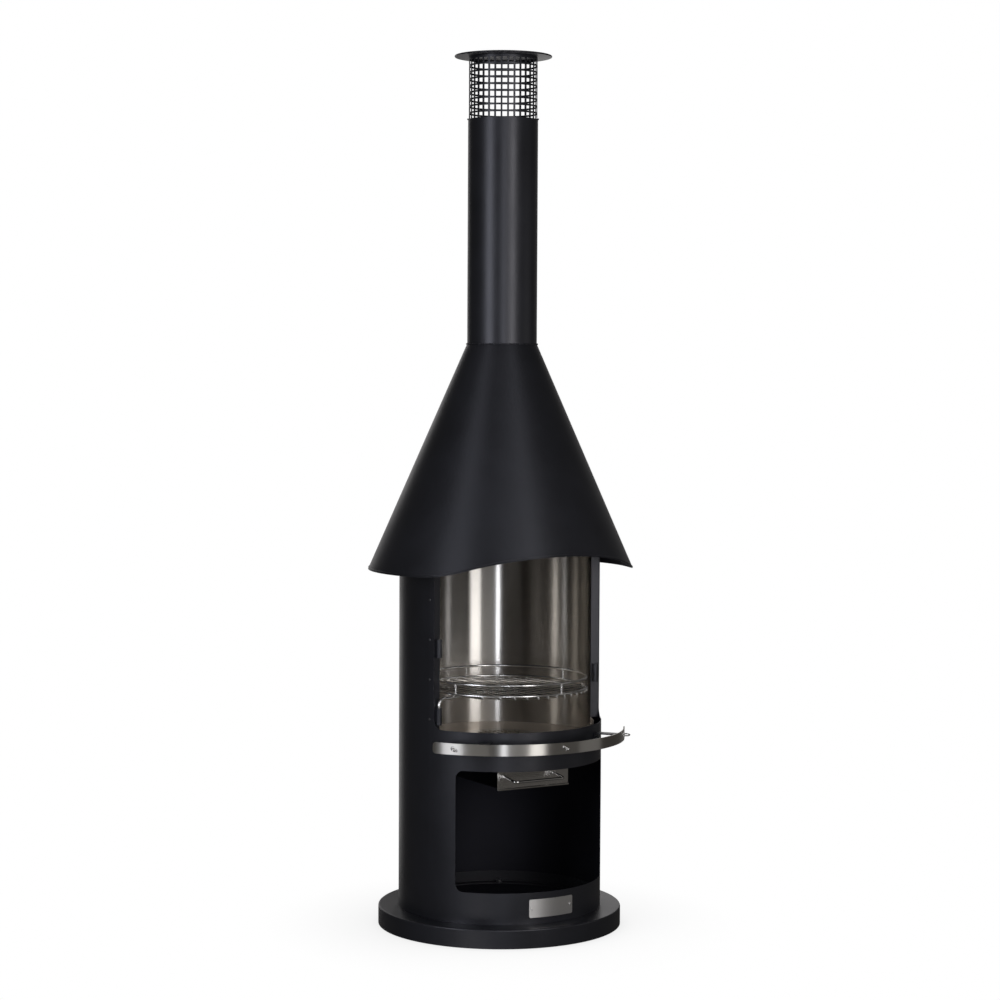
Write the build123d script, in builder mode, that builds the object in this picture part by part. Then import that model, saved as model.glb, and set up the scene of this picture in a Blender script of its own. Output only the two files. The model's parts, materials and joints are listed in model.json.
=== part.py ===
from build123d import *
import os
from math import cos, hypot, radians, sin, sqrt

# Chiminea: a tall round garden fireplace in sheet steel, about 2.1 m high.
#
# A round base carries a drum with a log store below and a firebox above. A cone-shaped hood, a flue
# pipe and a perforated spark screen with a rain cap stand on the drum. A wire grill swings on a socket
# beside the firebox opening, an ash drawer slides under the firebox floor, the ash grate lifts out,
# the spark screen lifts off with its cap, and a curved rail in front holds fire tools on hooks.
#
# Millimetres, +Z up. The origin is the centre of the base's underside, and the front faces -Y.
# A bearing is in degrees from the front, positive towards +X, the right-hand side seen from the front.

os.makedirs("parts", exist_ok=True)

# Driving dimensions: base
base_radius = 300
base_height = 46
base_sheet = 3
base_edge_radius = 3.5
bottom_plate_sheet = 4
spacer_circle = 150
spacer_radius = 9

# Driving dimensions: drum and its two openings
drum_radius = 250
drum_sheet = 2
store_low = 122
store_high = 414
store_half_angle = 55.5
store_corner = 20
firebox_low = 507
firebox_high = 985
firebox_half_angle = 70
firebox_corner = 25

# Driving dimensions: firebox
floor_level = 464
hearth_rim_top = 503
liner_radius = 230
liner_top = 1000
ash_hole_radius = 70

# Driving dimensions: grill
ring_radius = 200
ring_wire = 3
bar_wire = 2.5
bar_pitch = 25
arm_wire = 4
arm_reach = 225
lower_ring_level = 591
upper_ring_level = 617

# Driving dimensions: ash drawer
drawer_width = 200
drawer_low = 357
drawer_high = 410
drawer_front = -158
drawer_length = 250

# Driving dimensions: tool rail
rail_radius = 308
rail_sheet = 2.5
rail_low = 461
rail_high = 488
rail_half_angle = 61.7
rail_arm_bearing = 38
hook_bearings = (-51, 0, 51)

# Driving dimensions: hood and flue
hood_rim_radius = 327
hood_rim_level = 878
hood_top_radius = 86
hood_top_level = 1430
hood_sheet = 2.5
arch_rise = 51
arch_half_width = 315
flue_radius = 85.5
flue_sheet = 1.5
flue_top = 1976
screen_radius = 83.7
screen_sheet = 1.2
screen_columns = 33
screen_turn = -0.5
screen_rows = 9
screen_pitch = 16.4
screen_hole = 12
screen_bottom = 1946
screen_top = 2127.5
cap_radius = 119

# Fits and fasteners
weld_gap = 0.1
m6_radius = 3
m6_hole = 3.2
m8_radius = 4
m8_hole = 4.2
rivet_radius = 2
rivet_hole = 2.1

drum_inner = drum_radius - drum_sheet
hood_slope = (hood_rim_radius - hood_top_radius) / (hood_top_level - hood_rim_level)
hood_sheet_across = hood_sheet * hypot(1, hood_slope)
stand = (Align.CENTER, Align.CENTER, Align.MIN)


def hood_inner_radius(level):
    """Inside radius of the hood cone at a height."""
    return hood_rim_radius - hood_sheet_across - hood_slope * (level - hood_rim_level)


drum_top = hood_rim_level + (hood_inner_radius(hood_rim_level) - drum_radius) / hood_slope - 0.5


def outward(bearing):
    """Horizontal direction away from the drum's axis."""
    return Vector(sin(radians(bearing)), -cos(radians(bearing)), 0)


def at_bearing(bearing, radius, level=0):
    """Point at a bearing, a radius from the drum's axis and a height."""
    return outward(bearing) * radius + Vector(0, 0, level)


def facing_plane(bearing, radius, level):
    """Plane that faces outward, with its x level and its y up."""
    return Plane(at_bearing(bearing, radius, level), x_dir=outward(bearing + 90), z_dir=outward(bearing))


def section_plane(bearing):
    """Upright plane through the drum's axis, with its x outward and its y up."""
    return Plane((0, 0, 0), x_dir=outward(bearing), z_dir=outward(bearing - 90))


def band(inner, outer, start, end):
    """Plan of a curved strip between two radii, from one bearing to another."""
    with BuildSketch() as strip:
        with BuildLine():
            outer_arc = CenterArc((0, 0), outer, start - 90, end - start)
            inner_arc = CenterArc((0, 0), inner, start - 90, end - start)
            Line(outer_arc @ 0, inner_arc @ 0)
            Line(outer_arc @ 1, inner_arc @ 1)
        make_face()
    return strip.sketch


def headed_pin(place, shank, grip, head, head_height):
    """Rivet or bolt: a domed head on a plane, and a shank behind it."""
    with BuildPart() as pin:
        with BuildSketch(place):
            Circle(head)
        extrude(amount=head_height)
        crown = pin.faces().sort_by(Axis(place.origin, place.z_dir))[-1]
        fillet(crown.edges(), head_height * 0.8)
        with BuildSketch(place):
            Circle(shank)
        extrude(amount=-grip)
    return pin.part


def hex_nut(place, hole, across_flats, height):
    """Hexagon nut that stands on a plane, on the side the plane faces away from."""
    with BuildPart() as nut:
        with BuildSketch(place):
            RegularPolygon(across_flats / 2, 6, major_radius=False)
            Circle(hole, mode=Mode.SUBTRACT)
        extrude(amount=-height)
    return nut.part


def finish(piece, name):
    """Label a finished piece and write its STEP file."""
    piece.part.label = name
    export_step(piece.part, f"parts/{name}.step")


# --- Base ---------------------------------------------------------------------------------------

foot_bolt_circle = 232
foot_bolt_count = 6
foot_flange_top = base_height + 3

with BuildPart() as base_pan:
    with BuildSketch():
        Circle(base_radius)
    extrude(amount=base_height)
    fillet(base_pan.faces().sort_by(Axis.Z)[-1].edges(), base_edge_radius)
    offset(amount=-base_sheet, openings=base_pan.faces().sort_by(Axis.Z)[0])
    with PolarLocations(foot_bolt_circle, foot_bolt_count):
        Cylinder(m8_hole, base_height * 3, mode=Mode.SUBTRACT)
finish(base_pan, "base_pan")

screw_sink = 3
with BuildPart() as base_bottom_plate:
    with BuildSketch():
        Circle(base_radius - base_sheet - weld_gap)
    extrude(amount=bottom_plate_sheet)
    with PolarLocations(spacer_circle, 4, start_angle=45):
        Cylinder(m6_hole, bottom_plate_sheet * 3, mode=Mode.SUBTRACT)
    underside = base_bottom_plate.faces().sort_by(Axis.Z)[0]
    chamfer(underside.inner_wires().edges(), screw_sink)
finish(base_bottom_plate, "base_bottom_plate")

spacer_height = base_height - base_sheet - bottom_plate_sheet
with BuildPart() as base_spacers:
    with Locations((0, 0, bottom_plate_sheet)):
        with PolarLocations(spacer_circle, 4, start_angle=45):
            Cylinder(spacer_radius, spacer_height, align=stand)
            Cylinder(m6_radius + 0.1, spacer_height / 2, align=stand, mode=Mode.SUBTRACT)
finish(base_spacers, "base_spacers")

screw_recess = 0.3
with BuildPart() as base_screws:
    with Locations((0, 0, screw_recess)):
        with PolarLocations(spacer_circle, 4, start_angle=45):
            Cone(m6_radius + screw_sink - 0.2, m6_radius, screw_sink - 0.2, align=stand)
            Cylinder(m6_radius, 20, align=stand)
finish(base_screws, "base_screws")

foot_ring_outer = drum_inner - weld_gap
with BuildPart() as drum_foot_ring:
    with BuildSketch(Plane.XZ):
        with BuildLine():
            Polyline(
                (foot_ring_outer - 26, base_height),
                (foot_ring_outer, base_height),
                (foot_ring_outer, base_height + 30),
                (foot_ring_outer - 3, base_height + 30),
                (foot_ring_outer - 3, foot_flange_top),
                (foot_ring_outer - 26, foot_flange_top),
                close=True,
            )
        make_face()
    revolve(axis=Axis.Z)
    with PolarLocations(foot_bolt_circle, foot_bolt_count):
        Cylinder(m8_hole, foot_flange_top * 3, mode=Mode.SUBTRACT)
finish(drum_foot_ring, "drum_foot_ring")

with BuildPart() as foot_bolts:
    with Locations((0, 0, foot_flange_top)):
        with PolarLocations(foot_bolt_circle, foot_bolt_count):
            Cylinder(m8_radius, 20, align=(Align.CENTER, Align.CENTER, Align.MAX))
    with BuildSketch(Plane.XY.offset(foot_flange_top)):
        with PolarLocations(foot_bolt_circle, foot_bolt_count):
            RegularPolygon(6.5, 6, major_radius=False)
    extrude(amount=5.3)
finish(foot_bolts, "foot_bolts")

with BuildPart() as foot_nuts:
    with BuildSketch(Plane.XY.offset(base_height - base_sheet)):
        with PolarLocations(foot_bolt_circle, foot_bolt_count):
            RegularPolygon(6.5, 6, major_radius=False)
            Circle(m8_radius + 0.1, mode=Mode.SUBTRACT)
    extrude(amount=-6.5)
finish(foot_nuts, "foot_nuts")

# --- Drum ---------------------------------------------------------------------------------------

plate_half_angle = 13.9
plate_low = 62
plate_high = 106
plate_sheet = 1.5
plate_rivet_bearing = 12.5
plate_rivet_level = (plate_low + plate_high) / 2

jamb_rivet_bearing = 73.2
jamb_rivet_levels = [530 + 96 * step for step in range(5)]

rail_bolt_level = 473
bracket_bearings = (45, 135, 225, 315)
bracket_bolt_level = 1015

drum_holes = [(side * plate_rivet_bearing, plate_rivet_level, rivet_hole) for side in (-1, 1)]
for jamb_level in jamb_rivet_levels:
    drum_holes += [(side * jamb_rivet_bearing, jamb_level, rivet_hole) for side in (-1, 1)]
drum_holes += [(side * rail_arm_bearing, rail_bolt_level, m6_hole) for side in (-1, 1)]
drum_holes += [(bearing, bracket_bolt_level, m6_hole) for bearing in bracket_bearings]

drum_openings = (
    (store_low, store_high, store_half_angle, store_corner),
    (firebox_low, firebox_high, firebox_half_angle, firebox_corner),
)

with BuildPart() as drum_shell:
    with BuildSketch(Plane.XY.offset(base_height)):
        Circle(drum_radius)
        Circle(drum_inner, mode=Mode.SUBTRACT)
    extrude(amount=drum_top - base_height)
    for low, high, half_angle, corner in drum_openings:
        with BuildSketch(Plane.XY.offset(low)):
            add(band(drum_inner - 5, drum_radius + 5, -half_angle, half_angle))
        extrude(amount=high - low, mode=Mode.SUBTRACT)
        corner_edges = drum_shell.edges().filter_by(
            lambda edge: edge.length < drum_sheet + 0.1 and low - 1 < edge.center().Z < high + 1
        )
        fillet(corner_edges, corner)
    for bearing, level, radius in drum_holes:
        with BuildSketch(facing_plane(bearing, drum_radius - 10, level)):
            Circle(radius)
        extrude(amount=15, mode=Mode.SUBTRACT)
finish(drum_shell, "drum_shell")

plate_inner = drum_radius + weld_gap
with BuildPart() as nameplate:
    with BuildSketch(Plane.XY.offset(plate_low)):
        add(band(plate_inner, plate_inner + plate_sheet, -plate_half_angle, plate_half_angle))
    extrude(amount=plate_high - plate_low)
    fillet(nameplate.edges().filter_by(lambda edge: edge.length < plate_sheet + 0.1), 4)
    for side in (-1, 1):
        with BuildSketch(facing_plane(side * plate_rivet_bearing, drum_radius - 5, plate_rivet_level)):
            Circle(rivet_hole)
        extrude(amount=10, mode=Mode.SUBTRACT)
finish(nameplate, "nameplate")

with BuildPart() as nameplate_rivets:
    for side in (-1, 1):
        seat = facing_plane(side * plate_rivet_bearing, plate_inner + plate_sheet, plate_rivet_level)
        add(headed_pin(seat, rivet_radius, 6, 3.4, 1.4))
finish(nameplate_rivets, "nameplate_rivets")

# --- Firebox structure --------------------------------------------------------------------------

base_plate_low = floor_level - 4
with BuildPart() as floor_support_ring:
    with BuildSketch(Plane.XZ):
        with BuildLine():
            Polyline(
                (drum_inner - weld_gap - 23, base_plate_low - 3),
                (drum_inner - weld_gap - 23, base_plate_low),
                (drum_inner - weld_gap, base_plate_low),
                (drum_inner - weld_gap, base_plate_low - 30),
                (drum_inner - weld_gap - 3, base_plate_low - 30),
                (drum_inner - weld_gap - 3, base_plate_low - 3),
                close=True,
            )
        make_face()
    revolve(axis=Axis.Z)
finish(floor_support_ring, "floor_support_ring")

with BuildPart() as firebox_base_plate:
    with BuildSketch(Plane.XY.offset(base_plate_low)):
        Circle(drum_inner - 0.4)
        Circle(ash_hole_radius + 2, mode=Mode.SUBTRACT)
    extrude(amount=floor_level - base_plate_low)
finish(firebox_base_plate, "firebox_base_plate")

hearth_sheet = 1.5
hearth_inner = liner_radius + 0.2
hearth_top = floor_level + hearth_sheet
with BuildPart() as hearth_floor:
    with BuildSketch(Plane.XY.offset(floor_level)):
        Circle(hearth_inner + hearth_sheet)
        Circle(ash_hole_radius, mode=Mode.SUBTRACT)
    extrude(amount=hearth_sheet)
finish(hearth_floor, "hearth_floor")

with BuildPart() as hearth_rim:
    with BuildSketch(Plane.XY.offset(hearth_top + weld_gap)):
        Circle(hearth_inner + hearth_sheet)
        Circle(hearth_inner, mode=Mode.SUBTRACT)
    extrude(amount=hearth_rim_top - hearth_top - weld_gap)
finish(hearth_rim, "hearth_rim")

chute_bottom = 405
with BuildPart() as ash_chute:
    with BuildSketch(Plane.XY.offset(chute_bottom)):
        Circle(ash_hole_radius + 1.5)
    extrude(amount=base_plate_low - chute_bottom)
    with BuildSketch(Plane.XY.offset(base_plate_low)):
        Circle(ash_hole_radius + 15)
    extrude(amount=-3)
    with BuildSketch(Plane.XY.offset(chute_bottom)):
        Circle(ash_hole_radius)
    extrude(amount=base_plate_low, mode=Mode.SUBTRACT)
finish(ash_chute, "ash_chute")

grate_radius = 80
grate_seat = hearth_top + 0.2
grate_slot_pitch = 18
with BuildPart() as ash_grate:
    with BuildSketch(Plane.XY.offset(grate_seat)):
        Circle(grate_radius)
    extrude(amount=4)
    fillet(ash_grate.faces().sort_by(Axis.Z)[-1].edges(), 1.5)
    with BuildSketch(Plane.XY.offset(grate_seat)):
        Circle(ash_hole_radius - 3)
        Circle(ash_hole_radius - 6, mode=Mode.SUBTRACT)
    extrude(amount=-6)
    with BuildSketch(Plane.XY.offset(grate_seat - 1)):
        for step in range(-3, 4):
            with Locations((step * grate_slot_pitch, 0)):
                slot_length = 2 * sqrt((ash_hole_radius - 8) ** 2 - (step * grate_slot_pitch) ** 2)
                SlotOverall(slot_length, 9, rotation=90)
    extrude(amount=6, mode=Mode.SUBTRACT)
finish(ash_grate, "ash_grate")

liner_sheet = 1
jamb_start = firebox_half_angle + 0.05
jamb_face_angle = 0.48
liner_start = jamb_start + jamb_face_angle + 0.07
with BuildPart() as firebox_liner:
    with BuildSketch(Plane.XY.offset(hearth_top + weld_gap)):
        add(band(liner_radius - liner_sheet, liner_radius, liner_start, 360 - liner_start))
    extrude(amount=liner_top - hearth_top - weld_gap)
finish(firebox_liner, "firebox_liner")

jamb_low = hearth_rim_top + 2
jamb_lip = liner_radius - liner_sheet - 0.4
jamb_inner = liner_radius + 0.3
jamb_outer = drum_inner - 0.2
with BuildPart() as jamb_right:
    with BuildSketch(Plane.XY.offset(jamb_low)):
        add(band(jamb_lip, jamb_outer, jamb_start, jamb_start + jamb_face_angle))
        add(band(jamb_outer - 2, jamb_outer, jamb_start, jamb_start + 7))
        add(band(jamb_inner, jamb_inner + 1.5, jamb_start, jamb_start + 4))
    extrude(amount=liner_top - jamb_low)
    for level in jamb_rivet_levels:
        with BuildSketch(facing_plane(jamb_rivet_bearing, drum_radius - 10, level)):
            Circle(rivet_hole)
        extrude(amount=15, mode=Mode.SUBTRACT)
finish(jamb_right, "jamb_right")

with BuildPart() as jamb_left:
    mirror(jamb_right.part, about=Plane.YZ)
finish(jamb_left, "jamb_left")

with BuildPart() as jamb_rivets:
    for side in (-1, 1):
        for level in jamb_rivet_levels:
            seat = facing_plane(side * jamb_rivet_bearing, drum_radius, level)
            add(headed_pin(seat, rivet_radius, 5.5, 3.2, 1.3))
finish(jamb_rivets, "jamb_rivets")

# --- Grill sockets ------------------------------------------------------------------------------
# Each socket is a round tube, blind at the bottom, welded by a flat side to the face of its jamb.

socket_radius = 7
socket_bore = arm_wire + 0.08
socket_across = socket_radius + 0.1
socket_foot = at_bearing(jamb_start, 239)
socket_axis = socket_foot + outward(jamb_start - 90) * socket_across


def socket_right_side(low, height):
    """Socket on the right-hand jamb, from its foot level and height."""
    floor = Plane(socket_foot + Vector(0, 0, low), x_dir=outward(jamb_start), z_dir=(0, 0, 1))
    with BuildPart() as tube:
        with BuildSketch(floor):
            with Locations((0, -socket_across)):
                Circle(socket_radius)
            with Locations((0, -socket_across / 2)):
                Rectangle(10, socket_across)
        extrude(amount=height)
        with BuildSketch(floor.offset(3)):
            with Locations((0, -socket_across)):
                Circle(socket_bore)
        extrude(amount=height, mode=Mode.SUBTRACT)
    return tube.part


with BuildPart() as grill_socket_right:
    add(socket_right_side(595, 44))
finish(grill_socket_right, "grill_socket_right")

with BuildPart() as grill_socket_left_low:
    mirror(socket_right_side(517, 42), about=Plane.YZ)
finish(grill_socket_left_low, "grill_socket_left_low")

with BuildPart() as grill_socket_left_high:
    mirror(socket_right_side(679, 44), about=Plane.YZ)
finish(grill_socket_left_high, "grill_socket_left_high")

# --- Grill --------------------------------------------------------------------------------------
# The arm turns in the low left socket. At rest it points a little behind the drum's side-to-side line.

hinge_foot = Vector(-socket_axis.X, socket_axis.Y, 0)
arm_direction = outward(90 + 14.7)
grill_centre = hinge_foot + arm_direction * arm_reach
bar_level = lower_ring_level - ring_wire - bar_wire
arm_level = bar_level - bar_wire - arm_wire - 0.05
grill_plan = Plane(grill_centre, x_dir=arm_direction, z_dir=(0, 0, 1))

with BuildPart() as grill_arm:
    arm_side = Plane(hinge_foot, x_dir=arm_direction, z_dir=arm_direction.cross(Vector(0, 0, 1)))
    with BuildLine(arm_side):
        FilletPolyline(
            (0, 520.4),
            (0, arm_level),
            (arm_reach + ring_radius + 2, arm_level),
            radius=16,
        )
    with BuildSketch(Plane(hinge_foot + Vector(0, 0, 520.4), z_dir=(0, 0, 1))):
        Circle(arm_wire)
    sweep()
finish(grill_arm, "grill_arm")

with BuildPart(grill_plan.offset(lower_ring_level)) as grill_lower_ring:
    Torus(ring_radius, ring_wire)
finish(grill_lower_ring, "grill_lower_ring")

with BuildPart(grill_plan.offset(upper_ring_level)) as grill_upper_ring:
    Torus(ring_radius, ring_wire)
finish(grill_upper_ring, "grill_upper_ring")

bar_reach = ring_radius + 2
with BuildPart(grill_plan.offset(bar_level)) as grill_bars:
    for step in range(-7, 8):
        with Locations((step * bar_pitch, 0)):
            bar_length = 2 * sqrt(bar_reach**2 - (step * bar_pitch) ** 2)
            Cylinder(bar_wire, bar_length, rotation=(90, 0, 0))
finish(grill_bars, "grill_bars")

post_bearings = (-67, 12, 103, 179, 236)
with BuildPart() as grill_posts:
    for bearing in post_bearings:
        post_foot = grill_centre + outward(bearing) * ring_radius
        with Locations(post_foot + Vector(0, 0, lower_ring_level + ring_wire + 0.05)):
            Cylinder(2.5, upper_ring_level - lower_ring_level - 2 * ring_wire - 0.1, align=stand)
finish(grill_posts, "grill_posts")

# --- Ash drawer ---------------------------------------------------------------------------------

front_sheet = 2
tray_front = drawer_front + front_sheet
tray_width = 168
tray_sheet = 1.2
tray_low = drawer_low + 2
runner_shelf = 402
flange_low = runner_shelf + 0.3
tray_high = flange_low + 1.5
tray_middle = tray_front + (drawer_length - front_sheet) / 2

with BuildPart() as ash_drawer_tray:
    tray_length = drawer_length - front_sheet
    with Locations((0, tray_middle, tray_low)):
        Box(tray_width, tray_length, tray_high - tray_low, align=stand)
    with Locations((0, tray_middle, flange_low)):
        Box(drawer_width - 11, tray_length, tray_high - flange_low, align=stand)
    with Locations((0, tray_middle, tray_low + tray_sheet)):
        Box(
            tray_width - 2 * tray_sheet,
            tray_length - 2 * tray_sheet,
            tray_high,
            align=stand,
            mode=Mode.SUBTRACT,
        )
finish(ash_drawer_tray, "ash_drawer_tray")

hem_radius = 2.6
with BuildPart() as ash_drawer_front:
    with Locations((0, drawer_front + front_sheet / 2, drawer_low + hem_radius)):
        Box(drawer_width, front_sheet, drawer_high - drawer_low - hem_radius, align=stand)
    with Locations((0, tray_front - hem_radius, drawer_low + hem_radius)):
        Cylinder(hem_radius, drawer_width, rotation=(0, 90, 0))
finish(ash_drawer_front, "ash_drawer_front")

handle_half = 68.5
handle_shift = -10
handle_level = 390
handle_wire = 3.2
with BuildPart() as ash_drawer_handle:
    handle_root = drawer_front - 0.4
    handle_out = drawer_front - 48
    with BuildLine() as handle_path:
        FilletPolyline(
            (handle_shift - handle_half, handle_root, handle_level),
            (handle_shift - handle_half, handle_out, handle_level - 6),
            (handle_shift + handle_half, handle_out, handle_level - 6),
            (handle_shift + handle_half, handle_root, handle_level),
            radius=9,
        )
    with BuildSketch(Plane(handle_path.line @ 0, z_dir=handle_path.line % 0)):
        Circle(handle_wire)
    sweep()
    with BuildSketch(Plane.XZ.offset(-drawer_front + 0.05)):
        for side in (-1, 1):
            with Locations((handle_shift + side * handle_half, handle_level)):
                Circle(handle_wire + 2.5)
    extrude(amount=1.6)
finish(ash_drawer_handle, "ash_drawer_handle")

runner_web = drawer_width / 2 - 4.5
runner_front = 150
with BuildPart() as drawer_runner_right:
    with BuildSketch(Plane.XZ.offset(runner_front)):
        with BuildLine():
            Polyline(
                (runner_web - 7.5, runner_shelf - 2),
                (runner_web + 2, runner_shelf - 2),
                (runner_web + 2, base_plate_low - 2),
                (runner_web + 20, base_plate_low - 2),
                (runner_web + 20, base_plate_low),
                (runner_web, base_plate_low),
                (runner_web, runner_shelf),
                (runner_web - 7.5, runner_shelf),
                close=True,
            )
        make_face()
    extrude(amount=-245)
finish(drawer_runner_right, "drawer_runner_right")

with BuildPart() as drawer_runner_left:
    mirror(drawer_runner_right.part, about=Plane.YZ)
finish(drawer_runner_left, "drawer_runner_left")

# --- Tool rail ----------------------------------------------------------------------------------

with BuildPart() as tool_rail:
    with BuildSketch(Plane.XY.offset(rail_low)):
        add(band(rail_radius - rail_sheet, rail_radius, -rail_half_angle, rail_half_angle))
    extrude(amount=rail_high - rail_low)
    fillet(tool_rail.edges().filter_by(lambda edge: edge.length < rail_sheet + 0.1), 8)
finish(tool_rail, "tool_rail")

arm_sheet = 3
arm_inner = drum_radius + 0.05
arm_outer = rail_radius - rail_sheet - 0.3
arm_top = rail_high - 1
with BuildPart() as rail_arm_right:
    with BuildSketch(section_plane(rail_arm_bearing)):
        with BuildLine():
            Polyline(
                (arm_inner, rail_low + 2),
                (arm_inner, arm_top),
                (arm_outer, arm_top),
                (arm_outer, rail_low + 2),
                (arm_outer - arm_sheet, rail_low + 2),
                (arm_outer - arm_sheet, arm_top - arm_sheet),
                (arm_inner + arm_sheet, arm_top - arm_sheet),
                (arm_inner + arm_sheet, rail_low + 2),
                close=True,
            )
        make_face()
    extrude(amount=12.5, both=True)
    with BuildSketch(facing_plane(rail_arm_bearing, drum_radius - 5, rail_bolt_level)):
        Circle(m6_hole)
    extrude(amount=15, mode=Mode.SUBTRACT)
finish(rail_arm_right, "rail_arm_right")

with BuildPart() as rail_arm_left:
    mirror(rail_arm_right.part, about=Plane.YZ)
finish(rail_arm_left, "rail_arm_left")

with BuildPart() as rail_arm_bolts:
    for side in (-1, 1):
        seat = facing_plane(side * rail_arm_bearing, arm_inner + arm_sheet, rail_bolt_level)
        add(headed_pin(seat, m6_radius, 14, 5.5, 3.3))
finish(rail_arm_bolts, "rail_arm_bolts")

with BuildPart() as rail_arm_nuts:
    for side in (-1, 1):
        seat = facing_plane(side * rail_arm_bearing, drum_inner - 0.15, rail_bolt_level)
        add(hex_nut(seat, m6_radius + 0.1, 10, 5))
finish(rail_arm_nuts, "rail_arm_nuts")


def tool_hook(bearing):
    """Bent wire loop that stands out of the rail, one leg above and beside the other."""
    root = facing_plane(bearing, rail_radius + 0.05, (rail_low + rail_high) / 2)
    with BuildPart() as hook:
        with BuildLine(root):
            FilletPolyline(
                (-4.5, 3.2, 0),
                (-4.5, 3.2, 9),
                (0, 0, 15),
                (4.5, -3.2, 9),
                (4.5, -3.2, 0),
                radius=2.2,
            )
        with BuildSketch(root):
            with Locations((-4.5, 3.2)):
                Circle(1.5)
        sweep()
    return hook.part


with BuildPart() as tool_hooks:
    for bearing in hook_bearings:
        add(tool_hook(bearing))
finish(tool_hooks, "tool_hooks")

# --- Hood ---------------------------------------------------------------------------------------

with BuildPart() as hood:
    with BuildSketch(Plane.XZ):
        with BuildLine():
            Polyline(
                (hood_rim_radius, hood_rim_level),
                (hood_top_radius, hood_top_level),
                (hood_inner_radius(hood_top_level), hood_top_level),
                (hood_inner_radius(hood_rim_level), hood_rim_level),
                close=True,
            )
        make_face()
    revolve(axis=Axis.Z)
    with BuildSketch(Plane.XZ):
        with BuildLine():
            Spline(
                (-arch_half_width, hood_rim_level),
                (-0.69 * arch_half_width, hood_rim_level + 0.43 * arch_rise),
                (0, hood_rim_level + arch_rise),
                (0.69 * arch_half_width, hood_rim_level + 0.43 * arch_rise),
                (arch_half_width, hood_rim_level),
                tangents=[(1, 0), (1, 0)],
            )
            Polyline(
                (arch_half_width, hood_rim_level),
                (arch_half_width, hood_rim_level - 10),
                (-arch_half_width, hood_rim_level - 10),
                (-arch_half_width, hood_rim_level),
            )
        make_face()
    extrude(amount=hood_rim_radius * 2, mode=Mode.SUBTRACT)
finish(hood, "hood")

collar_radius = 83
with BuildPart() as hood_collar:
    with BuildSketch(Plane.XY.offset(hood_top_level - 35)):
        Circle(collar_radius)
        Circle(collar_radius - 1.5, mode=Mode.SUBTRACT)
    extrude(amount=85)
finish(hood_collar, "hood_collar")

bracket_low = 995
bracket_high = 1092
bracket_sheet = 2
bracket_outer = drum_inner - 0.4
bracket_sheet_across = bracket_sheet * hypot(1, hood_slope)
bracket_off_hood = 0.5


def level_inside_hood(radius, depth):
    """Height at which a line inside the hood, a radial depth from its wall, has a radius."""
    return hood_rim_level + (hood_inner_radius(hood_rim_level) - depth - radius) / hood_slope


def hood_bracket(bearing):
    """Bent strip: one leg flat on the inside of the drum, the other under the hood cone."""
    bend_outer = level_inside_hood(bracket_outer, bracket_off_hood)
    bend_inner = level_inside_hood(bracket_outer - bracket_sheet, bracket_off_hood + bracket_sheet_across)
    tip = hood_inner_radius(bracket_high) - bracket_off_hood
    with BuildPart() as strip:
        with BuildSketch(section_plane(bearing)):
            with BuildLine():
                Polyline(
                    (bracket_outer, bracket_low),
                    (bracket_outer, bend_outer),
                    (tip, bracket_high),
                    (tip - bracket_sheet_across, bracket_high),
                    (bracket_outer - bracket_sheet, bend_inner),
                    (bracket_outer - bracket_sheet, bracket_low),
                    close=True,
                )
            make_face()
        extrude(amount=12, both=True)
        with BuildSketch(facing_plane(bearing, drum_radius - 15, bracket_bolt_level)):
            Circle(m6_hole)
        extrude(amount=15, mode=Mode.SUBTRACT)
    return strip.part


with BuildPart() as hood_brackets:
    for bearing in bracket_bearings:
        add(hood_bracket(bearing))
finish(hood_brackets, "hood_brackets")

with BuildPart() as hood_bracket_bolts:
    for bearing in bracket_bearings:
        seat = facing_plane(bearing, drum_radius + 0.05, bracket_bolt_level)
        add(headed_pin(seat, m6_radius, 13, 5.5, 3.3))
finish(hood_bracket_bolts, "hood_bracket_bolts")

with BuildPart() as hood_bracket_nuts:
    for bearing in bracket_bearings:
        seat = facing_plane(bearing, bracket_outer - bracket_sheet, bracket_bolt_level)
        add(hex_nut(seat, m6_radius + 0.1, 10, 5))
finish(hood_bracket_nuts, "hood_bracket_nuts")

# --- Flue, spark screen and cap -----------------------------------------------------------------

with BuildPart() as flue_pipe:
    with BuildSketch(Plane.XY.offset(hood_top_level)):
        Circle(flue_radius)
        Circle(flue_radius - flue_sheet, mode=Mode.SUBTRACT)
    extrude(amount=flue_top - hood_top_level)
finish(flue_pipe, "flue_pipe")

column_angle = 360 / screen_columns
hole_half_angle = column_angle * screen_hole / (2 * screen_pitch)
first_row = flue_top + 1.5
screen_cut = screen_radius - screen_sheet - 2, screen_radius + 2
screen_seams = [screen_turn + column_angle * columns for columns in (4, 12, 21, 29)]
seam_half_angle = 0.035
with BuildPart() as spark_screen:
    with BuildSketch(Plane.XY.offset(screen_bottom)):
        Circle(screen_radius)
        Circle(screen_radius - screen_sheet, mode=Mode.SUBTRACT)
    extrude(amount=screen_top - screen_bottom)
    for row in range(screen_rows):
        with BuildSketch(Plane.XY.offset(first_row + row * screen_pitch)):
            for column in range(screen_columns):
                middle = screen_turn + (column + 0.5) * column_angle
                add(band(*screen_cut, middle - hole_half_angle, middle + hole_half_angle))
        extrude(amount=screen_hole, mode=Mode.SUBTRACT)
    with BuildSketch(Plane.XY.offset(screen_bottom)):
        for seam in screen_seams:
            add(band(*screen_cut, seam - seam_half_angle, seam + seam_half_angle))
    extrude(amount=screen_top - screen_bottom, mode=Mode.SUBTRACT)
finish(spark_screen, "spark_screen")

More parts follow.
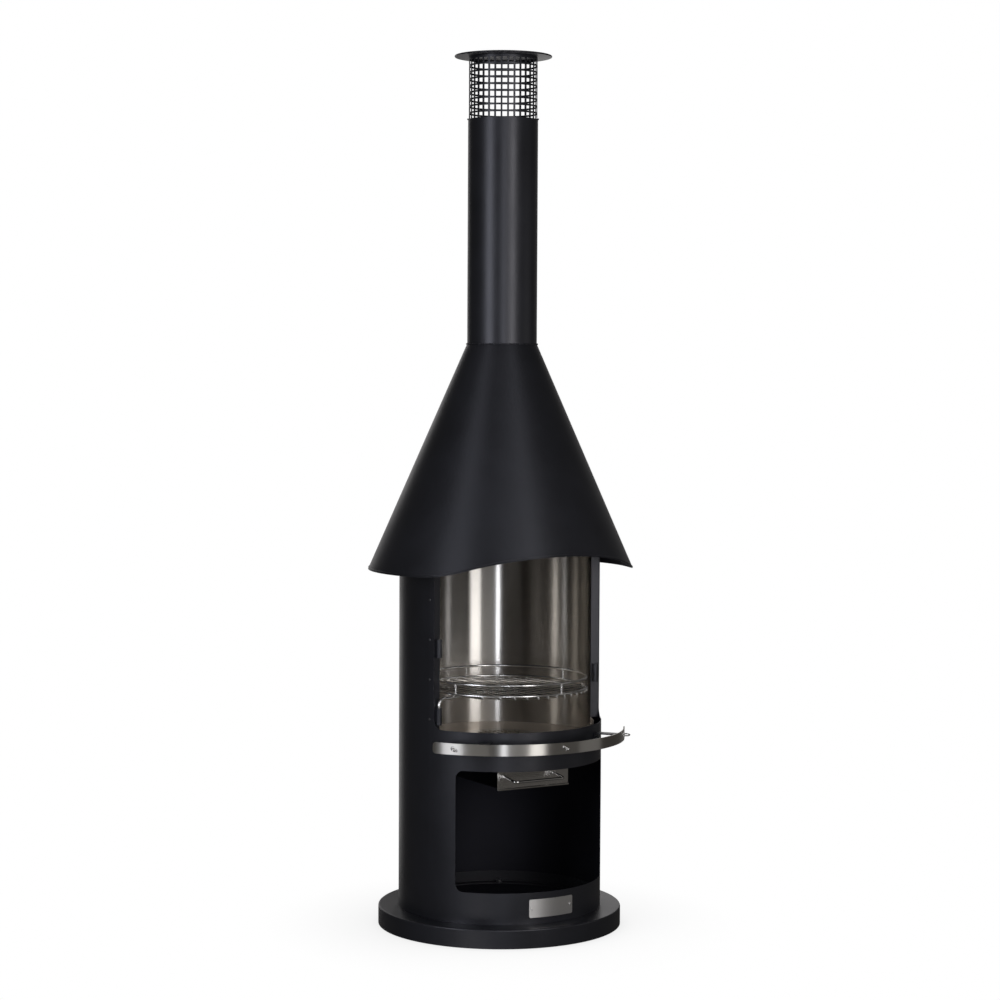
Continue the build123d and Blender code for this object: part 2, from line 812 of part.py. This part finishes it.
pin_radius = 1.9
with BuildPart() as screen_stop_pins:
    for bearing in (56.25, -123.75):
        with BuildSketch(facing_plane(bearing, screen_radius + 0.05, flue_top + pin_radius + 0.1)):
            Circle(pin_radius)
        extrude(amount=3.8)
finish(screen_stop_pins, "screen_stop_pins")

cap_sheet = 1.5
cap_crown = 6
bead_radius = 2
cap_low = screen_top + 0.1
with BuildPart() as rain_cap:
    with BuildSketch(Plane.XZ):
        with BuildLine():
            Polyline(
                (0, cap_low + cap_crown),
                (screen_radius - 5, cap_low),
                (cap_radius - bead_radius, cap_low),
                (cap_radius - bead_radius, cap_low + cap_sheet),
                (screen_radius - 5, cap_low + cap_sheet),
                (0, cap_low + cap_crown + cap_sheet),
                close=True,
            )
        make_face()
        with Locations((cap_radius - bead_radius, cap_low + bead_radius)):
            Circle(bead_radius)
    revolve(axis=Axis.Z)
finish(rain_cap, "rain_cap")
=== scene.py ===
import json
import math

import bmesh
import bpy
from mathutils import Matrix, Vector, noise


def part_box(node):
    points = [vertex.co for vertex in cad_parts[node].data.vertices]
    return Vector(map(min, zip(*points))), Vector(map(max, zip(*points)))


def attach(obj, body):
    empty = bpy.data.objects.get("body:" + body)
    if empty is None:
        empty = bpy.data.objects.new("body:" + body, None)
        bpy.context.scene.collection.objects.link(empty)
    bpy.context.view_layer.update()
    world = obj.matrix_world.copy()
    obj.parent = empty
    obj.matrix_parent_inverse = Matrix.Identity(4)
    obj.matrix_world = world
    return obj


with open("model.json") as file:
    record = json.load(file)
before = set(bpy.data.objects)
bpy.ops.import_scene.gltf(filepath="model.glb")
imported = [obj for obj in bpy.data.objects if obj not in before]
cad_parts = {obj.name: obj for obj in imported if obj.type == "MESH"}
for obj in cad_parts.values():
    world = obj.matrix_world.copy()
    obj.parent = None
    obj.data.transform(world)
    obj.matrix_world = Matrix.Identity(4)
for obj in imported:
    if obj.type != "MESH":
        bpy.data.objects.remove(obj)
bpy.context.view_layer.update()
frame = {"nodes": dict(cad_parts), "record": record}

# Chiminea. Metres, +Z up, the front faces -Y. A bearing is in degrees from the front, positive towards +X.
# The camera and the lights are placed round the drum's axis; the pieces ride on the frame's bodies.

CAMERA_BEARING = -30.5
CAMERA_YAW = 0.028
CAMERA_DISTANCE = 6.1275
CAMERA_HEIGHT = 1.3996
CAMERA_PITCH = 3.288
CAMERA_ROLL = 0.285
CAMERA_LENS = 89.77
CAMERA_SENSOR = 36
CAMERA_CLIP_END = 200

UP = Vector((0, 0, 1))


def outward(bearing):
    """Level direction away from the drum's axis."""
    angle = math.radians(bearing)
    return Vector((math.sin(angle), -math.cos(angle), 0))


def raised(height):
    """Point on the drum's axis at a height."""
    return Vector((0, 0, height))


def add_object(name, data):
    """New object in the scene."""
    holder = bpy.data.objects.new(name, data)
    bpy.context.scene.collection.objects.link(holder)
    return holder


# --- Materials ------------------------------------------------------------------------------------

SHEET_MIDDLE_BLUR = 0.0001
BEVEL_SAMPLES = 4


class Surface:
    """A material with one Principled shader, and short ways to add the nodes that drive it."""

    def __init__(self, name, colour, metallic, roughness):
        self.material = bpy.data.materials.new(name)
        self.material.use_nodes = True
        self.tree = self.material.node_tree
        self.shader = self.tree.nodes["Principled BSDF"]
        self.set("Base Color", (*colour, 1))
        self.set("Metallic", metallic)
        self.set("Roughness", roughness)
        self.place = self.add("ShaderNodeTexCoord").outputs["Object"]

    def set(self, socket, value):
        self.shader.inputs[socket].default_value = value

    def add(self, kind):
        return self.tree.nodes.new(kind)

    def join(self, output, target):
        self.tree.links.new(output, target)

    def drive(self, socket, output):
        self.join(output, self.shader.inputs[socket])

    def noise(self, cells, detail, stretch=(1, 1, 1)):
        """Noise from 0 to 1, with about so many cells a metre, more along the stretched axes."""
        mapping = self.add("ShaderNodeMapping")
        mapping.inputs["Scale"].default_value = stretch
        self.join(self.place, mapping.inputs["Vector"])
        texture = self.add("ShaderNodeTexNoise")
        texture.inputs["Scale"].default_value = cells
        texture.inputs["Detail"].default_value = detail
        self.join(mapping.outputs["Vector"], texture.inputs["Vector"])
        return texture.outputs["Fac"]

    def span(self, value, low, high, start=0.3, end=0.7):
        """The value between start and end, carried over to low and high."""
        node = self.add("ShaderNodeMapRange")
        node.inputs["From Min"].default_value = start
        node.inputs["From Max"].default_value = end
        node.inputs["To Min"].default_value = low
        node.inputs["To Max"].default_value = high
        self.join(value, node.inputs["Value"])
        return node.outputs["Result"]

    def blend(self, factor, first, second):
        """Colour between two colours."""
        node = self.add("ShaderNodeMix")
        node.data_type = "RGBA"
        self.join(factor, node.inputs["Factor"])
        for socket, colour in (("A", first), ("B", second)):
            target = [s for s in node.inputs if s.name == socket and s.type == "RGBA"][0]
            if isinstance(colour, tuple):
                target.default_value = (*colour, 1)
            else:
                self.join(colour, target)
        return [s for s in node.outputs if s.type == "RGBA"][0]

    def sum(self, first, second):
        """Sum of two values."""
        node = self.add("ShaderNodeMath")
        node.operation = "ADD"
        self.join(first, node.inputs[0])
        self.join(second, node.inputs[1])
        return node.outputs["Value"]

    def scaled_sum(self, first, factor, second):
        """First times a fixed factor, plus second."""
        node = self.add("ShaderNodeMath")
        node.operation = "MULTIPLY_ADD"
        node.inputs[1].default_value = factor
        self.join(first, node.inputs[0])
        self.join(second, node.inputs[2])
        return node.outputs["Value"]

    def inner_side(self, radius, slope, level):
        """1 on the inside of a round or conical sheet, 0 outside it.

        The radius is the middle of the sheet at the level, and it shrinks by the slope for each metre up.
        """
        plan = self.add("ShaderNodeVectorMath")
        plan.operation = "MULTIPLY"
        plan.inputs[1].default_value = (1, 1, 0)
        self.join(self.place, plan.inputs[0])
        reach = self.add("ShaderNodeVectorMath")
        reach.operation = "LENGTH"
        self.join(plan.outputs["Vector"], reach.inputs[0])
        split = self.add("ShaderNodeSeparateXYZ")
        self.join(self.place, split.inputs["Vector"])
        wall = self.scaled_sum(split.outputs["Z"], slope, reach.outputs["Value"])
        middle = radius + slope * level
        return self.span(wall, 1, 0, middle - SHEET_MIDDLE_BLUR, middle + SHEET_MIDDLE_BLUR)

    def relief(self, height, depth, edge=0.0):
        """Surface relief of a depth in metres, on edges rounded to a radius."""
        node = self.add("ShaderNodeBump")
        node.inputs["Strength"].default_value = 1
        node.inputs["Distance"].default_value = depth
        self.join(height, node.inputs["Height"])
        if edge:
            rounding = self.add("ShaderNodeBevel")
            rounding.samples = BEVEL_SAMPLES
            rounding.inputs["Radius"].default_value = edge
            self.join(rounding.outputs["Normal"], node.inputs["Normal"])
        self.drive("Normal", node.outputs["Normal"])


def scaled(colour, factor):
    return tuple(channel * factor for channel in colour)


COAT = (0.0095, 0.0105, 0.0140)
COAT_ROUGHNESS = 0.38
COAT_IOR = 1.66
COAT_TINT = (0.93, 0.925, 1.0, 1)
COAT_GRAIN_DEPTH = 0.00006
COAT_EDGE = 0.0009
# Dull dark metal that stands in for the coat inside the drum, hood, flue and base pan: painted shade.
INSIDE_COAT_PAINTED_SHADE = (0.040, 0.040, 0.050)
INSIDE_EXTRA_ROUGHNESS = 0.3
INNER_STEEL = scaled(COAT, 0.5)
INNER_STEEL_ROUGHNESS = 0.65


def powder_coat(name, colour, roughness, painted_shade_wall=None):
    """Satin stove paint: fine grain, faint clouds in its gloss. Darker and duller inside a given sheet, as
    painted shade.
    """
    cloud_cells, grain_cells, speckle_cells = 7, 900, 2600
    darker, lighter, gloss_change = 0.8, 1.25, 0.05
    surface = Surface(name, colour, 0, roughness)
    clouds = surface.noise(cloud_cells, detail=4)
    grain = surface.noise(grain_cells, detail=3)
    speckle = surface.noise(speckle_cells, detail=1)
    paint = surface.blend(surface.span(clouds, 0, 1), scaled(colour, darker), scaled(colour, lighter))
    uneven = surface.sum(clouds, speckle)
    gloss = surface.span(uneven, roughness - gloss_change, roughness + gloss_change, start=0.7, end=1.3)
    # Inside the sheet the coat is swapped for a darker, duller metal: painted shade.
    if painted_shade_wall:
        inside = surface.inner_side(*painted_shade_wall)
        paint = surface.blend(inside, paint, INSIDE_COAT_PAINTED_SHADE)
        surface.drive("Metallic", inside)
        gloss = surface.scaled_sum(inside, INSIDE_EXTRA_ROUGHNESS, gloss)
    surface.drive("Base Color", paint)
    surface.drive("Roughness", gloss)
    surface.relief(grain, COAT_GRAIN_DEPTH, COAT_EDGE)
    surface.set("IOR", COAT_IOR)
    surface.set("Specular Tint", COAT_TINT)
    return surface.material


LEVEL_GROOVES = (1, 1, 600)
CROSS_GROOVES = (1, 400, 1)
GROOVE_DEPTH = 0.000003
SHEET_EDGE = 0.0006


def brushed_steel(name, colour, roughness, grooves, anisotropy):
    """Stainless sheet with fine straight grooves. Level grooves stretch every reflection upright."""
    groove_cells, smudge_cells = 9, 4
    darker, lighter = 0.98, 1.02
    clean, smudged = roughness - 0.01, roughness + 0.02
    quarter_turn = 0.25
    surface = Surface(name, colour, 1, roughness)
    streaks = surface.noise(groove_cells, detail=3, stretch=grooves)
    smudges = surface.noise(smudge_cells, detail=2)
    tone = surface.blend(surface.span(streaks, 0, 1), scaled(colour, darker), scaled(colour, lighter))
    surface.drive("Base Color", tone)
    surface.drive("Roughness", surface.span(smudges, clean, smudged))
    surface.relief(streaks, GROOVE_DEPTH, SHEET_EDGE)
    tangent = surface.add("ShaderNodeTangent")
    tangent.direction_type = "RADIAL"
    tangent.axis = "Z"
    surface.drive("Tangent", tangent.outputs["Tangent"])
    surface.set("Anisotropic", anisotropy)
    surface.set("Anisotropic Rotation", quarter_turn)
    return surface.material


def drawn_wire(name, colour, roughness):
    """Bright drawn rod, slightly uneven in its polish."""
    mark_cells, mark_depth = 260, 0.00001
    darker, lighter = 0.82, 1.08
    smoother, rougher = roughness - 0.03, roughness + 0.06
    surface = Surface(name, colour, 1, roughness)
    marks = surface.noise(mark_cells, detail=5)
    tone = surface.blend(surface.span(marks, 0, 1), scaled(colour, darker), scaled(colour, lighter))
    surface.drive("Base Color", tone)
    surface.drive("Roughness", surface.span(marks, smoother, rougher))
    surface.relief(marks, mark_depth)
    return surface.material


# Coated steel: colour, roughness.
COATED = {
    "black_powder_coat": (COAT, COAT_ROUGHNESS),
    "black_inner_steel": (INNER_STEEL, INNER_STEEL_ROUGHNESS),
}
# Brushed steel: colour, roughness, grooves, anisotropy.
BRUSHED = {
    "liner_stainless": ((0.59, 0.57, 0.54), 0.25, LEVEL_GROOVES, 1.0),
    "hearth_stainless": ((0.74, 0.67, 0.59), 0.52, CROSS_GROOVES, 0.2),
    "rail_stainless": ((0.66, 0.64, 0.60), 0.32, LEVEL_GROOVES, 1.0),
    "drawer_stainless": ((0.66, 0.64, 0.61), 0.2, LEVEL_GROOVES, 1.0),
    "plate_stainless": ((0.80, 0.79, 0.78), 0.45, LEVEL_GROOVES, 0.6),
    "grate_stainless": ((0.60, 0.55, 0.48), 0.42, CROSS_GROOVES, 0.2),
}
# Wire and fasteners: colour, roughness. The dull rivets aren't a slot of the record but one node's finish.
DRAWN = {
    "wire_stainless": ((0.84, 0.83, 0.81), 0.15),
    "grill_wire": ((0.93, 0.92, 0.90), 0.20),
    "zinc_fasteners": ((0.55, 0.55, 0.55), 0.34),
    "dull_rivets": ((0.17, 0.17, 0.18), 0.45),
}
finishes = {}
for make_finish, recipes in ((powder_coat, COATED), (brushed_steel, BRUSHED), (drawn_wire, DRAWN)):
    for finish_name, recipe in recipes.items():
        finishes[finish_name] = make_finish(finish_name, *recipe)

DRUM_SHEET = 0.002
HOOD_SHEET = 0.0025
FLUE_SHEET = 0.0015
HOOD_LOW, HOOD_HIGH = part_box("hood")
HOOD_SLOPE = (HOOD_HIGH[0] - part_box("flue_pipe")[1][0]) / (HOOD_HIGH[2] - HOOD_LOW[2])


def painted_shade_bounds(node, sheet, slope=0.0):
    """Middle radius of a round sheet at its lowest edge, how fast it narrows, and that level."""
    low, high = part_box(node)
    return high[0] - sheet / 2, slope, low[2]


# The base's pan is painted dark and dull where the drum stands over it, as are the insides of the drum,
# hood and flue: painted shade.
drum_painted_shade = painted_shade_bounds("drum_shell", DRUM_SHEET)
painted_shade_sheets = {
    "drum_shell": drum_painted_shade,
    "base_pan": drum_painted_shade,
    "hood": painted_shade_bounds("hood", HOOD_SHEET, HOOD_SLOPE),
    "flue_pipe": painted_shade_bounds("flue_pipe", FLUE_SHEET),
}


def finish_frame():
    """Gives each CAD node its slot's finish, but for the sheets with painted shade inside and the jamb
    rivets.
    """
    for part in frame["record"]["subparts"]:
        node = part["node"]
        finish = finishes[part["material_slot"]]
        # These sheets get a coat of their own, with painted shade on the inside.
        if node in painted_shade_sheets:
            finish = powder_coat(f"black_powder_coat_{node}", COAT, COAT_ROUGHNESS, painted_shade_sheets[node])
        elif node == "jamb_rivets":
            finish = finishes["dull_rivets"]
        mesh = frame["nodes"][node].data
        mesh.materials.clear()
        mesh.materials.append(finish)


finish_frame()

# --- Welds, hook collars and the hood's rolled edge ---------------------------------------------------

RIPPLE_STEPS = 5
RIPPLE_PITCH = 0.0042
LUMP_CELLS = 1.3
LUMP_SHIFT = 3.7
LUMP_SIZE = 0.16


def place_piece(name, mesh, body, slot):
    """Smooth piece from a bmesh, in the finish of a slot, riding on a body."""
    bmesh.ops.recalc_face_normals(mesh, faces=mesh.faces)
    data = bpy.data.meshes.new(name)
    mesh.to_mesh(data)
    mesh.free()
    data.shade_smooth()
    data.materials.append(finishes[slot])
    piece = add_object(name, data)
    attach(piece, body)


def sweep_bead(mesh, path, up, reaches, closed=False, sides=10):
    """Round bead along a path, with its own radius at every point. The path never runs along up."""
    count = len(path)
    rings = []
    for index, (centre, reach) in enumerate(zip(path, reaches)):
        before = path[index - 1] if index or closed else centre
        after = path[(index + 1) % count] if index + 1 < count or closed else centre
        side = (after - before).cross(up).normalized()
        rise = (after - before).cross(side).normalized()
        rings.append([])
        for step in range(sides):
            turn = math.tau * step / sides
            spoke = side * math.cos(turn) + rise * math.sin(turn)
            rings[-1].append(mesh.verts.new(centre + spoke * reach))
    for index in range(count if closed else count - 1):
        ring, following = rings[index], rings[(index + 1) % count]
        for step in range(sides):
            beside = (step + 1) % sides
            mesh.faces.new((ring[step], ring[beside], following[beside], following[step]))
    if not closed:
        mesh.faces.new(rings[0])
        mesh.faces.new(rings[-1])


def ripples(count, radius, closed=False):
    """Radii of a weld bead: each ripple swells and falls back, and an open bead tapers at its ends.

    Two slow waves of different lengths keep the ripples from looking all alike.
    """
    reaches = []
    for index in range(count):
        swell = 0.80 + 0.20 * math.sin(math.pi * (index % RIPPLE_STEPS + 0.5) / RIPPLE_STEPS)
        drift = 1 + 0.06 * math.sin(index * 0.37) + 0.04 * math.sin(index * 0.83 + 1)
        taper = 1 if closed else min(1, 0.4 + 0.6 * min(index, count - 1 - index) / (2 * RIPPLE_STEPS))
        reaches.append(radius * swell * drift * taper)
    return reaches


def round_weld(name, radius, level, bead):
    """Rippled weld round the axis."""
    count = RIPPLE_STEPS * round(math.tau * radius / RIPPLE_PITCH)
    path = [outward(360 * index / count) * radius + raised(level) for index in range(count)]
    mesh = bmesh.new()
    sweep_bead(mesh, path, UP, ripples(count, bead, closed=True), closed=True)
    place_piece(name, mesh, "root", "black_powder_coat")


def back_seam(name, low_radius, low, high_radius, high, bead):
    """Rippled weld up the middle of the back, where a rolled sheet's two edges meet."""
    foot = outward(180) * low_radius + raised(low)
    head = outward(180) * high_radius + raised(high)
    count = RIPPLE_STEPS * round((head - foot).length / RIPPLE_PITCH)
    path = [foot.lerp(head, index / (count - 1)) for index in range(count)]
    mesh = bmesh.new()
    sweep_bead(mesh, path, outward(180), ripples(count, bead))
    place_piece(name, mesh, "root", "black_powder_coat")


def weld_spots(name, body, slot, places, radius, squash):
    """Small lumpy welds, each flattened along the vertical."""
    mesh = bmesh.new()
    for number, place in enumerate(places):
        blob = bmesh.ops.create_icosphere(mesh, subdivisions=2, radius=radius)["verts"]
        for vertex in blob:
            lump = noise.noise(vertex.co / radius * LUMP_CELLS + Vector((number * LUMP_SHIFT, 0, 0)))
            vertex.co *= 1 + LUMP_SIZE * lump
            vertex.co.z *= squash
            vertex.co += place
    place_piece(name, mesh, body, slot)


def weld_body():
    """Upright seams of the drum, hood and flue, and the weld where the flue meets the hood."""
    sheet_bead, flue_bead, round_bead = 0.0020, 0.0018, 0.0023
    sink, stand_off = 0.0009, 0.0004
    drum_start, drum_stop = 0.004, 0.03
    hood_start, hood_stop = 0.012, 0.006
    flue_start, flue_stop = 0.006, 0.004
    drum_low, drum_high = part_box("drum_shell")
    flue_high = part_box("flue_pipe")[1]
    drum_radius, flue_radius = drum_high[0] - sink, flue_high[0] - sink
    back_seam(
        "drum_back_seam",
        drum_radius,
        drum_low[2] + drum_start,
        drum_radius,
        drum_high[2] - drum_stop,
        sheet_bead,
    )
    hood_end = HOOD_HIGH[2] - HOOD_LOW[2] - hood_stop
    back_seam(
        "hood_back_seam",
        HOOD_HIGH[0] - hood_start * HOOD_SLOPE - sink,
        HOOD_LOW[2] + hood_start,
        HOOD_HIGH[0] - hood_end * HOOD_SLOPE - sink,
        HOOD_LOW[2] + hood_end,
        sheet_bead,
    )
    back_seam(
        "flue_back_seam",
        flue_radius,
        HOOD_HIGH[2] + flue_start,
        flue_radius,
        flue_high[2] - flue_stop,
        flue_bead,
    )
    round_weld("flue_hood_weld", flue_high[0] + stand_off, HOOD_HIGH[2] + stand_off, round_bead)


def weld_grill():
    """Welds at the bars' ends, where the arm crosses the bars, and at both ends of the posts."""
    arm_bearing = 104.7
    bar_pitch, side_bars = 0.025, 7
    post_bearings = (-67, 12, 103, 179, 236)
    end_lift = 0.0004
    end_weld, end_squash = 0.0031, 0.8
    arm_weld, arm_squash = 0.0034, 0.7
    post_weld, post_squash = 0.0035, 0.6
    ring_low, ring_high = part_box("grill_lower_ring")
    wire = (ring_high[2] - ring_low[2]) / 2
    middle = (Vector(ring_low) + Vector(ring_high)) / 2
    centre = Vector((middle.x, middle.y, 0))
    radius = (ring_high[0] - ring_low[0]) / 2 - wire
    along, across = outward(arm_bearing), outward(arm_bearing + 90)
    bars_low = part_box("grill_bars")[0]
    ends, crossings = [], []
    for step in range(-side_bars, side_bars + 1):
        reach = math.sqrt(radius**2 - (step * bar_pitch) ** 2)
        bar_middle = centre + along * step * bar_pitch
        for side in (-1, 1):
            ends.append(bar_middle + across * side * reach + raised(ring_low[2] + end_lift))
        crossings.append(bar_middle + raised(bars_low[2]))
    weld_spots("grill_bar_welds", "grill", "grill_wire", ends, end_weld, end_squash)
    weld_spots("grill_arm_welds", "grill", "grill_wire", crossings, arm_weld, arm_squash)
    upper_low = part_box("grill_upper_ring")[0]
    posts = []
    for bearing in post_bearings:
        foot = centre + outward(bearing) * radius
        posts.append(foot + raised(ring_high[2]))
        posts.append(foot + raised(upper_low[2]))
    weld_spots("grill_post_welds", "grill", "grill_wire", posts, post_weld, post_squash)


def collar_hooks():
    """Small welded collar round each leg of the tool hooks, on the face of the rail."""
    hook_bearings = (-51, 0, 51)
    leg_aside, leg_above = 0.0045, 0.0032
    collar_radius, collar_bead, steps = 0.0024, 0.0014, 24
    rail_low, rail_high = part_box("tool_rail")
    mesh = bmesh.new()
    for bearing in hook_bearings:
        out, aside = outward(bearing), outward(bearing + 90)
        face = out * -rail_low[1] + raised((rail_low[2] + rail_high[2]) / 2)
        for leg in (-1, 1):
            root = face + aside * leg * leg_aside - raised(leg * leg_above)
            path = []
            for step in range(steps):
                turn = math.tau * step / steps
                path.append(root + (aside * math.cos(turn) + raised(math.sin(turn))) * collar_radius)
            sweep_bead(mesh, path, out, [collar_bead] * steps, closed=True)
    place_piece("hook_collars", mesh, "root", "wire_stainless")


def roll_hood_edge():
    """Small rolled bead round the hood's lower edge, which follows the arch over the opening."""
    bead, proud, lift, sides = 0.0019, 0.0015, 0.0036, 12
    same_point, sharp_angle, rim_height, skin_gap, bearing_digits = 0.000001, 0.8, 0.06, 0.0003, 2
    mesh = bmesh.new()
    mesh.from_mesh(frame["nodes"]["hood"].data)
    bmesh.ops.remove_doubles(mesh, verts=mesh.verts, dist=same_point)
    rim = {}
    for edge in mesh.edges:
        if len(edge.link_faces) != 2 or edge.calc_face_angle(0) < sharp_angle:
            continue
        for vertex in edge.verts:
            point = vertex.co
            skin = HOOD_HIGH[0] - (point.z - HOOD_LOW[2]) * HOOD_SLOPE
            on_skin = abs(math.hypot(point.x, point.y) - skin) < skin_gap
            if point.z < HOOD_LOW[2] + rim_height and on_skin:
                bearing = math.degrees(math.atan2(point.x, -point.y)) % 360
                rim[round(bearing, bearing_digits)] = point.z + lift
    mesh.free()
    path = []
    for bearing in sorted(rim):
        reach = HOOD_HIGH[0] - (rim[bearing] - HOOD_LOW[2]) * HOOD_SLOPE - bead + proud
        path.append(outward(bearing) * reach + raised(rim[bearing]))
    roll = bmesh.new()
    sweep_bead(roll, path, UP, [bead] * len(path), closed=True, sides=sides)
    place_piece("hood_rolled_edge", roll, "root", "black_powder_coat")


weld_body()
weld_grill()
collar_hooks()
roll_hood_edge()

# --- Stage: camera, floor, backdrop and lights ------------------------------------------------------

BACKDROP_RADIUS = 40
FLOOR_RADIUS = 30
FLOOR_DROP = 0.0005
FLOOR_SHADE_REACH = 0.35
FLOOR_SHADE_SAMPLES = 16
FLOOR_SHADE_FROM = 0.35
FLOOR_DARKEST = 0.8

COOL = (0.90, 0.925, 1.0)
PLAIN = (1.0, 0.985, 0.98)

# Name, degrees to the right of the camera's direction, distance, width, low and high edge, glow, colour.
SOFTBOXES = (
    ("window_left", -43, 3.6, 1.2, 0.3, 2.7, 3.4, COOL),
    ("window_front", 3.5, 6.4, 0.48, -0.2, 2.2, 8.5, COOL),
    ("window_right", 33, 3.8, 0.9, 0.3, 2.7, 4.2, PLAIN),
    ("low_left", -22, 1.8, 0.8, -0.9, -0.3, 1.0, PLAIN),
    ("between_right", 16, 4.6, 1.3, 0.2, 2.6, 0.45, PLAIN),
    ("high_left", -45, 3.6, 1.7, 3.2, 4.65, 0.85, COOL),
    ("high_right", 31, 3.8, 1.5, 3.2, 4.65, 1.15, COOL),
    ("high_front", 8, 3.6, 1.3, 2.8, 3.5, 1.8, COOL),
    ("dim_right", 60, 3.8, 1.6, -0.5, 2.0, 0.06, PLAIN),
    ("window_far_right", 88, 3.8, 1.9, 0.0, 2.0, 0.28, PLAIN),
    ("fill_back_left", -158, 3.5, 1.6, -0.6, 2.8, 0.65, PLAIN),
    ("fill_back", 172, 3.6, 1.3, -0.2, 2.8, 0.7, PLAIN),
    ("fill_back_right", 150, 3.8, 1.2, 0.1, 2.8, 0.12, PLAIN),
)
CEILING_HEIGHT = 5.2
CEILING_WIDTH = 3.4
CEILING_GLOW = 0.55
WORLD_COLOUR = (1.0, 0.94, 0.88, 1)
WORLD_STRENGTH = 0.05


def make_camera():
    camera = bpy.data.cameras.new("camera")
    camera.lens = CAMERA_LENS
    camera.sensor_width = CAMERA_SENSOR
    camera.clip_end = CAMERA_CLIP_END
    holder = add_object("camera", camera)
    place = outward(CAMERA_BEARING) * CAMERA_DISTANCE + raised(CAMERA_HEIGHT)
    turn = Matrix.Rotation(math.radians(CAMERA_BEARING + CAMERA_YAW), 4, "Z")
    tilt = Matrix.Rotation(math.radians(90 - CAMERA_PITCH), 4, "X")
    roll = Matrix.Rotation(math.radians(CAMERA_ROLL), 4, "Z")
    holder.matrix_world = Matrix.Translation(place) @ turn @ tilt @ roll
    bpy.context.scene.camera = holder


def stage_piece(name, shape, material):
    """Stage piece from a bmesh, kept out of the object's reflections and light."""
    mesh = bpy.data.meshes.new(name)
    shape.to_mesh(mesh)
    shape.free()
    mesh.materials.append(material)
    piece = add_object(name, mesh)
    for ray in ("diffuse", "glossy", "transmission", "volume_scatter", "shadow"):
        setattr(piece, f"visible_{ray}", False)
    return piece


def glow_material(name):
    """Material with one white emission shader."""
    material = bpy.data.materials.new(name)
    material.use_nodes = True
    tree = material.node_tree
    tree.nodes.clear()
    glow = tree.nodes.new("ShaderNodeEmission")
    surface = tree.nodes.new("ShaderNodeOutputMaterial")
    tree.links.new(glow.outputs["Emission"], surface.inputs["Surface"])
    return material, tree, glow


def make_backdrop():
    """Plain white backdrop all round."""
    shell = bmesh.new()
    bmesh.ops.create_icosphere(shell, subdivisions=5, radius=BACKDROP_RADIUS)
    backdrop = stage_piece("backdrop", shell, glow_material("backdrop_white")[0])


def make_floor():
    """Pale floor, a little darker close round the base as a painted shadow, which fades into the backdrop.
    """
    disc = bmesh.new()
    bmesh.ops.create_circle(disc, cap_ends=True, radius=FLOOR_RADIUS, segments=96)
    material, tree, glow = glow_material("floor_pale")
    shade = tree.nodes.new("ShaderNodeAmbientOcclusion")
    shade.inputs["Distance"].default_value = FLOOR_SHADE_REACH
    shade.samples = FLOOR_SHADE_SAMPLES
    tone = tree.nodes.new("ShaderNodeMapRange")
    tone.inputs["From Min"].default_value = FLOOR_SHADE_FROM
    tone.inputs["From Max"].default_value = 1
    tone.inputs["To Min"].default_value = FLOOR_DARKEST
    tone.inputs["To Max"].default_value = 1
    tree.links.new(shade.outputs["AO"], tone.inputs["Value"])
    tree.links.new(tone.outputs["Result"], glow.inputs["Strength"])
    floor = stage_piece("floor", disc, material)
    floor.location.z = -FLOOR_DROP


def area_light(name, width, height, glow, colour):
    """Soft light facing down, which the camera doesn't see. Its brightness doesn't depend on its size."""
    light = bpy.data.lights.new(name, "AREA")
    light.shape = "RECTANGLE"
    light.size = width
    light.size_y = height
    light.energy = glow * math.pi * width * height
    light.color = colour
    holder = add_object(name, light)
    holder.visible_camera = False
    return holder


def softbox(name, aside, distance, width, low, high, glow, colour):
    """Upright soft light that faces the axis, so many degrees to the right of the camera's direction."""
    holder = area_light(name, width, high - low, glow, colour)
    direction = outward(CAMERA_BEARING + aside)
    holder.location = direction * distance + raised((low + high) / 2)
    holder.rotation_euler = (-direction).to_track_quat("-Z", "Y").to_euler()


def make_lights():
    for box in SOFTBOXES:
        softbox(*box)
    ceiling = area_light("ceiling", CEILING_WIDTH, CEILING_WIDTH, CEILING_GLOW, PLAIN)
    ceiling.location.z = CEILING_HEIGHT
    world = bpy.data.worlds.new("studio")
    world.use_nodes = True
    background = world.node_tree.nodes["Background"]
    background.inputs["Color"].default_value = WORLD_COLOUR
    background.inputs["Strength"].default_value = WORLD_STRENGTH
    bpy.context.scene.world = world


make_camera()
make_backdrop()
make_floor()
make_lights()
bpy.context.scene.view_settings.view_transform = "Standard"
